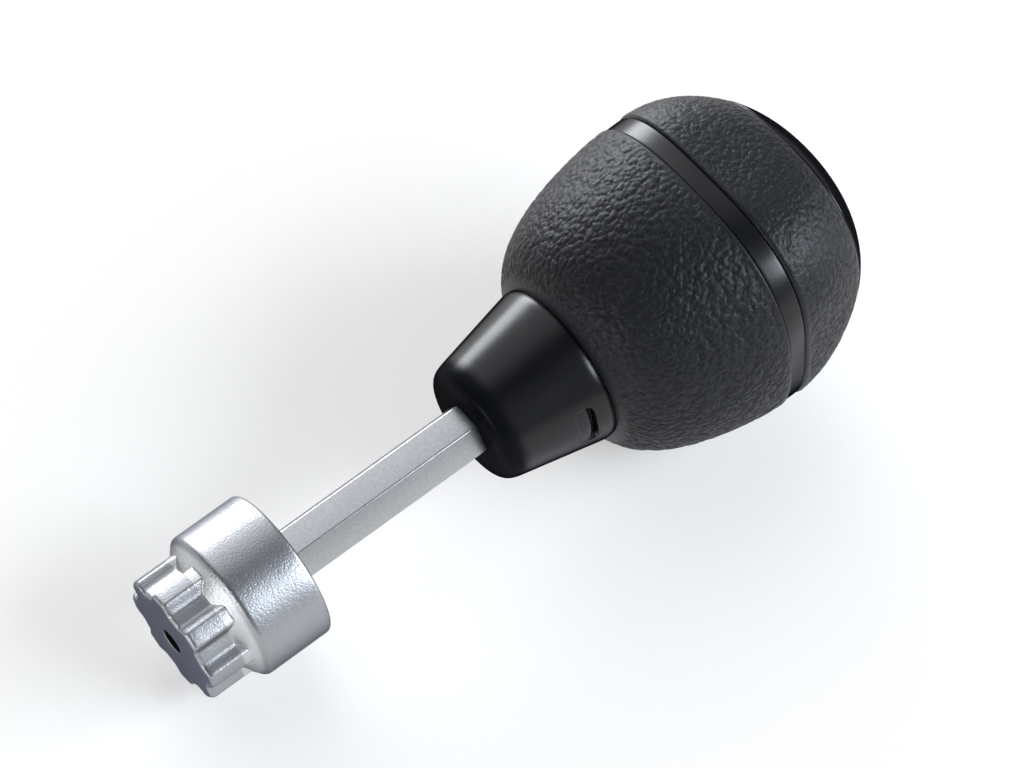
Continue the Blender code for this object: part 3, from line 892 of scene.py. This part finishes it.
def rear_face(shape, radius, angle):
    """Draws a round opening and the flat round it in to the hexagon that fits the shank."""
    hexagon = hex_outline(angle, shape.socket_apothem)
    inside = radius * hexagon / shape.socket_radius
    spread = 1 - smooth(shape.socket_radius, shape.socket_radius + SOCKET_BLEND, radius)
    outside = radius + (hexagon - shape.socket_radius) * spread
    return np.where(radius <= shape.socket_radius, inside, outside)


def shank_mesh(shape):
    shank = shape.tool.shank
    bm = bmesh.new()
    radius = shank.across_flats / 2 / math.cos(math.pi / 6)
    z_from, z_to = -shank.held, shape.collar_rear + SOCKET_DEPTH - SEAT_GAP
    depth = z_to - z_from
    bmesh.ops.create_cone(bm, segments=6, radius1=radius, radius2=radius, depth=depth, cap_ends=True)
    bmesh.ops.translate(bm, vec=(0.0, 0.0, (z_from + z_to) / 2), verts=bm.verts)
    bmesh.ops.bevel(
        bm,
        geom=bm.edges[:],
        affect="EDGES",
        offset=shank.edge_round,
        offset_type="OFFSET",
        segments=BAR_ROUND_STEPS,
        profile=0.5,
        material=-1,
    )
    return mesh_of(bm, "shank_bar")


def core_mesh(shape):
    """Neck, band and the body under the rubber, in one moulding."""
    handle, grip = shape.tool.handle, shape.tool.grip
    skin = shape.neck_skin
    along = Vector((shape.neck_slope, -1.0)).normalized()
    face = Vector((NECK_FACE_RADIUS, 0.0))
    side = Vector((skin(-NECK_ROUND_LENGTH), -NECK_ROUND_LENGTH))
    pulls = (face + Vector((NECK_ROUND_FACE_PULL, 0.0)), side - along * NECK_ROUND_SIDE_PULL)
    shoulder = [bezier(face, *pulls, side, i / NECK_ROUND_STEPS) for i in range(NECK_ROUND_STEPS + 1)]
    pocket_from = -(POCKET_STATION - POCKET_HALF_WIDTH - POCKET_MARGIN)
    pocket_to = -(POCKET_STATION + POCKET_HALF_WIDTH + POCKET_MARGIN)
    lean = math.degrees(math.atan(shape.neck_slope))
    lip = [shape.lip_point((90 + lean) * i / LIP_STEPS - lean) for i in range(LIP_STEPS + 1)]
    under = grip.wall + SEAT_GAP
    root = shape.ball_point(0.0, under).y
    socket = shape.socket_radius
    bore = SPIGOT_RADIUS + SEAT_GAP
    bore_end = shape.core_end + SPIGOT_LENGTH + SEAT_GAP
    band_rounds = (BAND_ROUND, BAND_ROUND)
    band = shape.ball_run(shape.band_front, shape.band_rear, BODY_STEPS, handle.band_recess, band_rounds)
    outline = rounded(
        [
            (0.0, -NECK_SOCKET_DEPTH, 0.0),
            (socket, -NECK_SOCKET_DEPTH, 0.0),
            (socket, 0.0, NECK_SOCKET_ROUND),
            *between((socket + NECK_SOCKET_EDGE, 0.0), (NECK_FACE_RADIUS, 0.0), NECK_FACE_STEPS),
            *[(p.x, p.y, 0.0) for p in shoulder],
            *between((side.x, side.y), (skin(pocket_from), pocket_from), NECK_STEPS),
            *between((skin(pocket_from), pocket_from), (skin(pocket_to), pocket_to), POCKET_STEPS),
            *between((skin(pocket_to), pocket_to), lip[0], BEHIND_POCKET_STEPS),
            *[(p.x, p.y, 0.0) for p in lip],
            (NECK_CORE_RADIUS, lip[-1].y, 0.0),
            (NECK_CORE_RADIUS, root, 0.0),
            *shape.ball_run(root, shape.band_front, BODY_STEPS, under),
            *band,
            *shape.ball_run(shape.band_rear, shape.core_end, BODY_STEPS, under),
            (bore, shape.core_end, 0.0),
            (bore, bore_end, 0.0),
            (0.0, bore_end, 0.0),
        ]
    )
    mesh = mesh_of(spun(outline), "handle_body")

    def rule(radius, angle, z):
        in_face = (z > -NECK_SOCKET_DEPTH - CLEAR) & (radius < NECK_FACE_RADIUS - CLEAR)
        grown = np.where(in_face, rear_face(shape, radius, angle), radius)
        across = radius * np.sin(angle - handle.pocket_turn)
        toward = np.cos(angle - handle.pocket_turn) > 0
        back = -(z + POCKET_STATION)
        reach_a = np.abs(across) - (POCKET_HALF_LENGTH - POCKET_END_ROUND)
        reach_b = np.abs(back) - (POCKET_HALF_WIDTH - POCKET_END_ROUND)
        outside = np.hypot(np.maximum(reach_a, 0), np.maximum(reach_b, 0)) - POCKET_END_ROUND
        within = smooth(*POCKET_WALL, outside) * toward
        fall = np.clip((back + POCKET_HALF_WIDTH) / (2 * POCKET_HALF_WIDTH), 0, 1)
        depth = POCKET_FRONT_STEP + (POCKET_DEPTH - POCKET_FRONT_STEP) * fall**POCKET_FALL
        on_neck = (z > -handle.neck_length) & (radius > skin(z) - WIDE_CLEAR)
        grown = grown - np.where(on_neck, within * depth, 0.0)
        on_ball = (radius > bore + CLEAR) & (z < lip[-1].y - NEAR)
        return np.where(on_ball, shape.lobed(grown, angle, z), grown)

    reshape(mesh, rule)
    return mesh


def drift(point, rate, reach):
    return noise.noise_vector(point * rate) * reach


def leather(points, size):
    """Height of a leather grain, 0 in the creases to 1 on the pebbles, for points in metres."""
    noise.seed_set(GRAIN_SEED)
    heights = np.empty(len(points))
    for i, point in enumerate(points):
        p = Vector(point) / size
        p.z *= PEBBLE_STRETCH
        q = p + drift(p, *SLOW_DRIFT) + drift(p, *QUICK_DRIFT)
        near, next_near = noise.voronoi(q)[0][:2]
        crease = min(1.0, (next_near - near) / CREASE_WIDTH)
        dome = 1 - min(1.0, near / PEBBLE_RADIUS) ** 2
        near, next_near = noise.voronoi(q * WRINKLES_PER_PEBBLE + drift(p, *WRINKLE_DRIFT))[0][:2]
        wrinkle = min(1.0, (next_near - near) / WRINKLE_WIDTH)
        creased = CREASE_SHARE * crease * (2 - crease)
        wrinkled = WRINKLE_SHARE * wrinkle * (2 - wrinkle)
        heights[i] = creased + DOME_SHARE * dome + wrinkled
    return heights


def grain_skin(mesh, shape, start, end, margins, depth):
    """Sinks the leather grain's creases into the outer skin, fading them out toward the two rims."""
    points = points_of(mesh)
    normals = points_of(mesh, "normal")
    radius = np.hypot(points[:, 0], points[:, 1])
    z = points[:, 2]
    outward = (points[:, :2] * normals[:, :2]).sum(axis=1) / np.maximum(radius, NEAR)
    side = smooth(*OUTER_SIDE, outward)
    fade = smooth(start, start - margins[0], z) * smooth(end, end + margins[1], z) * side
    heights = np.zeros(len(points))
    shown = np.flatnonzero(fade > 0)
    heights[shown] = leather(points[shown], shape.tool.grip.grain_size)
    grain = 1 - (1 - heights) * fade
    points += normals * ((grain - 1) * depth)[:, None]
    move_points(mesh, points)
    attribute = mesh.attributes.new("grain", "FLOAT", "POINT")
    attribute.data.foreach_set("value", grain.astype(np.float32))


def front_skin_mesh(shape):
    """The rubber from the neck's rear edge to the band, with its wall and its inner side."""
    grip = shape.tool.grip
    end = shape.band_front + TIGHT_GAP
    root = shape.ball_point(0.0, grip.wall).y
    bore = NECK_CORE_RADIUS + SEAT_GAP
    outline = rounded(
        [
            *shape.ball_run(shape.grip_start, end, FRONT_SKIN_STEPS, 0.0, FRONT_SKIN_ROUNDS),
            *reversed(shape.ball_run(root, end, INNER_SKIN_STEPS, grip.wall)),
            (bore, root, 0.0),
            *[(*shape.lip_point(degrees, TIGHT_GAP), 0.0) for degrees in LIP_UNDER],
        ],
        closed=True,
    )
    mesh = mesh_of(spun(outline, SKIN_COLUMNS, closed=True), "front_skin")
    reshape(mesh, shape.lobed)
    grain_skin(mesh, shape, shape.grip_start, end, FRONT_GRAIN_MARGINS, grip.grain_depth)
    return mesh


def rear_skin_mesh(shape):
    """The rubber from the band to the end cap."""
    grip = shape.tool.grip
    start = shape.band_rear - TIGHT_GAP
    outline = rounded(
        [
            *shape.ball_run(start, shape.core_end, REAR_SKIN_STEPS, 0.0, REAR_SKIN_ROUNDS),
            *reversed(shape.ball_run(start, shape.core_end, INNER_SKIN_STEPS, grip.wall)),
        ],
        closed=True,
    )
    mesh = mesh_of(spun(outline, SKIN_COLUMNS, closed=True), "rear_skin")
    reshape(mesh, shape.lobed)
    grain_skin(mesh, shape, start, shape.core_end, REAR_GRAIN_MARGINS, grip.rear_depth)
    return mesh


def cap_mesh(shape):
    """The dome, a little proud of the rubber at its rim, and the spigot that holds it."""
    handle = shape.tool.handle
    start = shape.cap_start
    flush = shape.ball_run(start, -handle.ball_end, CAP_STEPS, 0.0, (CAP_ROUND, 0.0))
    rim = flush[0][0]
    outline = rounded(
        [
            (0.0, shape.core_end + SPIGOT_LENGTH, 0.0),
            (SPIGOT_RADIUS, shape.core_end + SPIGOT_LENGTH, 0.0),
            (SPIGOT_RADIUS, start, 0.0),
            *[(r * (1 + handle.cap_proud / rim), z, size) for r, z, size in flush],
        ]
    )
    mesh = mesh_of(spun(outline, CAP_COLUMNS), "end_dome")

    def rule(radius, angle, z):
        on_dome = (radius > SPIGOT_RADIUS + CLEAR) | (z < start - CLEAR)
        return np.where(on_dome, shape.lobed(radius, angle, z), radius)

    reshape(mesh, rule)
    return mesh


class CRANKTOOL_OT_head(bpy.types.Operator):
    """Add the splined steel head"""

    bl_idname = "crank_tool.add_head"
    bl_label = "Splined Head"

    def execute(self, context):
        shape = Shape(context.scene.crank_tool)
        show(context, shape, head_mesh(shape), plated_steel(shape), "splined_head")
        return {"FINISHED"}


class CRANKTOOL_OT_shank(bpy.types.Operator):
    """Add the hexagonal shank"""

    bl_idname = "crank_tool.add_shank"
    bl_label = "Hexagonal Shank"

    def execute(self, context):
        shape = Shape(context.scene.crank_tool)
        show(context, shape, shank_mesh(shape), drawn_bar(shape), "hex_shank")
        return {"FINISHED"}


class CRANKTOOL_OT_core(bpy.types.Operator):
    """Add the handle's hard core with its neck and band"""

    bl_idname = "crank_tool.add_core"
    bl_label = "Handle Core"

    def execute(self, context):
        shape = Shape(context.scene.crank_tool)
        show(context, shape, core_mesh(shape), moulded_plastic(shape), "handle_core")
        return {"FINISHED"}


class CRANKTOOL_OT_grips(bpy.types.Operator):
    """Add the two rubber skins of the ball"""

    bl_idname = "crank_tool.add_grips"
    bl_label = "Rubber Grips"

    def execute(self, context):
        shape = Shape(context.scene.crank_tool)
        rubber = grained_rubber(shape)
        show(context, shape, front_skin_mesh(shape), rubber, "front_grip")
        show(context, shape, rear_skin_mesh(shape), rubber, "rear_grip")
        return {"FINISHED"}


class CRANKTOOL_OT_cap(bpy.types.Operator):
    """Add the glossy cap in the end of the handle"""

    bl_idname = "crank_tool.add_cap"
    bl_label = "End Cap"

    def execute(self, context):
        shape = Shape(context.scene.crank_tool)
        show(context, shape, cap_mesh(shape), glossy_plastic(shape), "end_cap")
        return {"FINISHED"}


# The photograph's view. Angles are seen along the tool's axis, from the side that faces the camera toward the
# lower right of the picture.
LENS = 158.2  # mm, on the usual 36 mm sensor
VIEW_SIDE = 153.7  # degrees from the floor side to the side that faces the camera
VIEW_LEAN = 16.54  # degrees between the tool's axis and the picture's plane
PICTURE_TURN = 35.6  # degrees that the tool's axis rises to the right in the picture
VIEW_DISTANCE = 504.2 * MM
AIM_STATION = -7.25 * MM
AIM_ASIDE = 1.25 * MM

# Lights: degrees round the tool from the camera's side, degrees raised toward the end cap, metres away, and
# metres across and along the tool
KEY_ANGLE, KEY_LEAN = -104.5, 16.5
KEY_DISTANCE, KEY_SIZE = 0.75, (0.37, 0.70)
KEY_COLOUR = (0.93, 0.96, 1.0)
SIDE_ANGLE, SIDE_LEAN = 29.5, 41.5
SIDE_DISTANCE, SIDE_SIZE = 0.75, (0.36, 0.84)
SIDE_COLOUR = (0.85, 0.91, 1.0)
SOFT_RIM = 0.20  # of a lamp's width, over which its brightness falls to nothing

# The room: its brightness from the picture's lower right, at 0, to its upper left, at 1
ROOM_TINT = (0.96, 0.98, 1.0)
ROOM_STOPS = (
    (0.05, 0.38), (0.25, 0.46), (0.50, 0.27), (0.60, 0.09),
    (0.70, 0.12), (0.80, 0.60), (0.90, 1.22), (0.97, 1.22),
)
# The glow before the head and the shade round it, whose reaches are cosines from their middles
FRONT_AROUND, FRONT_LEAN = 0.0, -77.0
FRONT_REACH = (0.93, 0.995)
FRONT_GLOW = 6.0
SHADE_REACH = (0.10, 0.55)
SHADE = 0.80

# The floor, of which a share is plain white in the picture and in reflections: less near the tool, where its
# shadow shows, and more away from it
FLOOR_SIZE = 3.0
FLOOR_ROUGHNESS = 0.9
WHITE = (1.0, 1.0, 1.0, 1.0)
WHITE_SHARE = (0.40, 0.93)
WHITE_REACH = (22 * MM, 60 * MM)
WHITE_STRETCH = (0.55, 1.0, 1.0)


class View:
    """Directions in the photograph: near is toward the camera, and aside toward the lower right."""

    def __init__(self, shape):
        self.home = placement(shape)
        turned = self.home.to_3x3()
        side = math.radians(VIEW_SIDE)
        self.back = -(turned @ Vector((0.0, 0.0, 1.0)))
        self.near = turned @ Vector((math.cos(side), math.sin(side), 0.0))
        self.aside = self.back.cross(self.near)

    def toward(self, around, lean):
        """The direction around degrees aside from the camera's side, and lean degrees toward the end cap."""
        lean, angle = math.radians(lean), math.radians(around)
        flat = self.near * math.cos(angle) + self.aside * math.sin(angle)
        return flat * math.cos(lean) + self.back * math.sin(lean)


def add_camera(context, view):
    lean, rise = math.radians(VIEW_LEAN), math.radians(PICTURE_TURN)
    forward = view.back * math.sin(lean) - view.near * math.cos(lean)
    along = view.back * math.cos(lean) + view.near * math.sin(lean)
    right = along * math.cos(rise) + view.aside * math.sin(rise)
    up = along * math.sin(rise) - view.aside * math.cos(rise)
    aim = view.home @ Vector((0.0, 0.0, AIM_STATION)) - view.aside * AIM_ASIDE
    data = bpy.data.cameras.new("camera")
    data.lens = LENS
    camera = bpy.data.objects.new("camera", data)
    context.scene.collection.objects.link(camera)
    axes = Matrix((right, up, -forward)).transposed()
    camera.matrix_world = Matrix.Translation(aim - forward * VIEW_DISTANCE) @ axes.to_4x4()
    context.scene.camera = camera


def add_softbox(context, name, view, direction, distance, size, watts, tint):
    """A rectangular lamp that faces the tool, brightest in its middle, with its length along the tool."""
    data = bpy.data.lights.new(name, "AREA")
    data.shape = "RECTANGLE"
    data.size, data.size_y = size
    data.energy = watts
    data.color = tint
    tree = Nodes(data)
    spot = tree.add("ShaderNodeNewGeometry", out="Parametric")
    glow = 1.0
    for axis in ((1.0, 0.0, 0.0), (0.0, 1.0, 0.0)):
        place = tree.dot(spot, axis)
        glow = tree.smooth_step(place, 0.0, SOFT_RIM) * tree.smooth_step(place, 1.0, 1.0 - SOFT_RIM) * glow
    tree.plug(glow, tree.nodes["Emission"].inputs["Strength"])
    lamp = bpy.data.objects.new(name, data)
    context.scene.collection.objects.link(lamp)
    along = (view.back - direction * view.back.dot(direction)).normalized()
    axes = Matrix((along.cross(direction), along, direction)).transposed()
    home = view.home.to_translation() + direction * distance
    lamp.matrix_world = Matrix.Translation(home) @ axes.to_4x4()


def add_room(context, view, stage):
    """Plain walls: bright behind the tool, dim above it and before its head, with a glow for the shoulder."""
    world = bpy.data.worlds.new("room")
    tree = Nodes(world)
    direction = tree.add("ShaderNodeTexCoord", out="Generated")
    across = 0.5 - tree.dot(direction, view.aside) * 0.5
    ahead = tree.dot(direction, view.toward(FRONT_AROUND, FRONT_LEAN))
    front = tree.smooth_step(ahead, *FRONT_REACH, top=FRONT_GLOW)
    shade = tree.smooth_step(tree.dot(direction, -view.back), *SHADE_REACH, top=SHADE)
    walls = (tree.ramp(across, *ROOM_STOPS) * (1.0 - shade) + front) * stage.room
    background = tree.nodes["Background"]
    tree.plug(rgba(ROOM_TINT), background.inputs["Color"])
    tree.plug(walls, background.inputs["Strength"])
    context.scene.world = world


def add_floor(context, stage):
    """Pale paper that keeps the tool's shadow."""
    bm = bmesh.new()
    bmesh.ops.create_grid(bm, x_segments=1, y_segments=1, size=FLOOR_SIZE)
    mesh = mesh_of(bm, "floor")
    finish = Finish("floor_paper")
    rays = ("Camera", "Glossy", "Transmission")
    direct, glossy, through = (finish.add("ShaderNodeLightPath", out=f"Is {ray} Ray") for ray in rays)
    where = finish.add("ShaderNodeTexCoord", out="Object")
    fibre = finish.noise(where, PAPER_FIBRE, detail=2.0)
    finish.surface(
        base_color=finish.mix(fibre, rgba(stage.floor, 0.97), rgba(stage.floor, 1.03)),
        roughness=FLOOR_ROUGHNESS,
    )
    white = finish.add("ShaderNodeEmission", {}, {"Color": WHITE, "Strength": 1.0})
    paper = Wire(finish, finish.shader.outputs[0])
    away = finish.reach(finish.stretched(where, WHITE_STRETCH))
    part = finish.smooth_step(away, *WHITE_REACH, top=WHITE_SHARE[1] - WHITE_SHARE[0]) + WHITE_SHARE[0]
    seen = (direct + glossy + through) * part
    shown = finish.add("ShaderNodeMixShader", {}, {0: seen, 1: paper, 2: white})
    finish.plug(shown, finish.output.inputs["Surface"])
    mesh.materials.append(finish.material)
    floor = bpy.data.objects.new("floor", mesh)
    context.scene.collection.objects.link(floor)


class CRANKTOOL_OT_stage(bpy.types.Operator):
    """Add the floor, the lights and the camera"""

    bl_idname = "crank_tool.add_stage"
    bl_label = "Studio"

    def execute(self, context):
        scene = context.scene
        tool = scene.crank_tool
        view = View(Shape(tool))
        add_camera(context, view)
        stage = tool.stage
        key, side = view.toward(KEY_ANGLE, KEY_LEAN), view.toward(SIDE_ANGLE, SIDE_LEAN)
        add_softbox(context, "key", view, key, KEY_DISTANCE, KEY_SIZE, stage.key_power, KEY_COLOUR)
        add_softbox(context, "side", view, side, SIDE_DISTANCE, SIDE_SIZE, stage.side_power, SIDE_COLOUR)
        add_floor(context, stage)
        add_room(context, view, stage)
        scene.view_settings.view_transform = "Standard"
        return {"FINISHED"}


STEPS = (
    CRANKTOOL_OT_head,
    CRANKTOOL_OT_shank,
    CRANKTOOL_OT_core,
    CRANKTOOL_OT_grips,
    CRANKTOOL_OT_cap,
    CRANKTOOL_OT_stage,
)


class CRANKTOOL_PT_panel(bpy.types.Panel):
    """The tool's pieces and settings"""

    bl_idname = "CRANKTOOL_PT_panel"
    bl_label = "Crank Arm Installation Tool"
    bl_space_type = "VIEW_3D"
    bl_region_type = "UI"
    bl_category = "Crank Tool"

    def draw(self, context):
        for step in STEPS:
            self.layout.operator(step.bl_idname)
        tool = context.scene.crank_tool
        for group in (tool.head, tool.shank, tool.handle, tool.grip, tool.stage):
            box = self.layout.box()
            for name in group.__annotations__:
                box.prop(group, name)


CLASSES = (
    CRANKTOOL_PG_head,
    CRANKTOOL_PG_shank,
    CRANKTOOL_PG_handle,
    CRANKTOOL_PG_grip,
    CRANKTOOL_PG_stage,
    CRANKTOOL_PG_tool,
    *STEPS,
    CRANKTOOL_PT_panel,
)


def register():
    for cls in CLASSES:
        bpy.utils.register_class(cls)
    bpy.types.Scene.crank_tool = PointerProperty(type=CRANKTOOL_PG_tool)


def unregister():
    del bpy.types.Scene.crank_tool
    for cls in reversed(CLASSES):
        bpy.utils.unregister_class(cls)


def main():
    register()
    bpy.ops.crank_tool.add_head()
    bpy.ops.crank_tool.add_shank()
    bpy.ops.crank_tool.add_core()
    bpy.ops.crank_tool.add_grips()
    bpy.ops.crank_tool.add_cap()
    bpy.ops.crank_tool.add_stage()


if __name__ == "__main__":
    main()
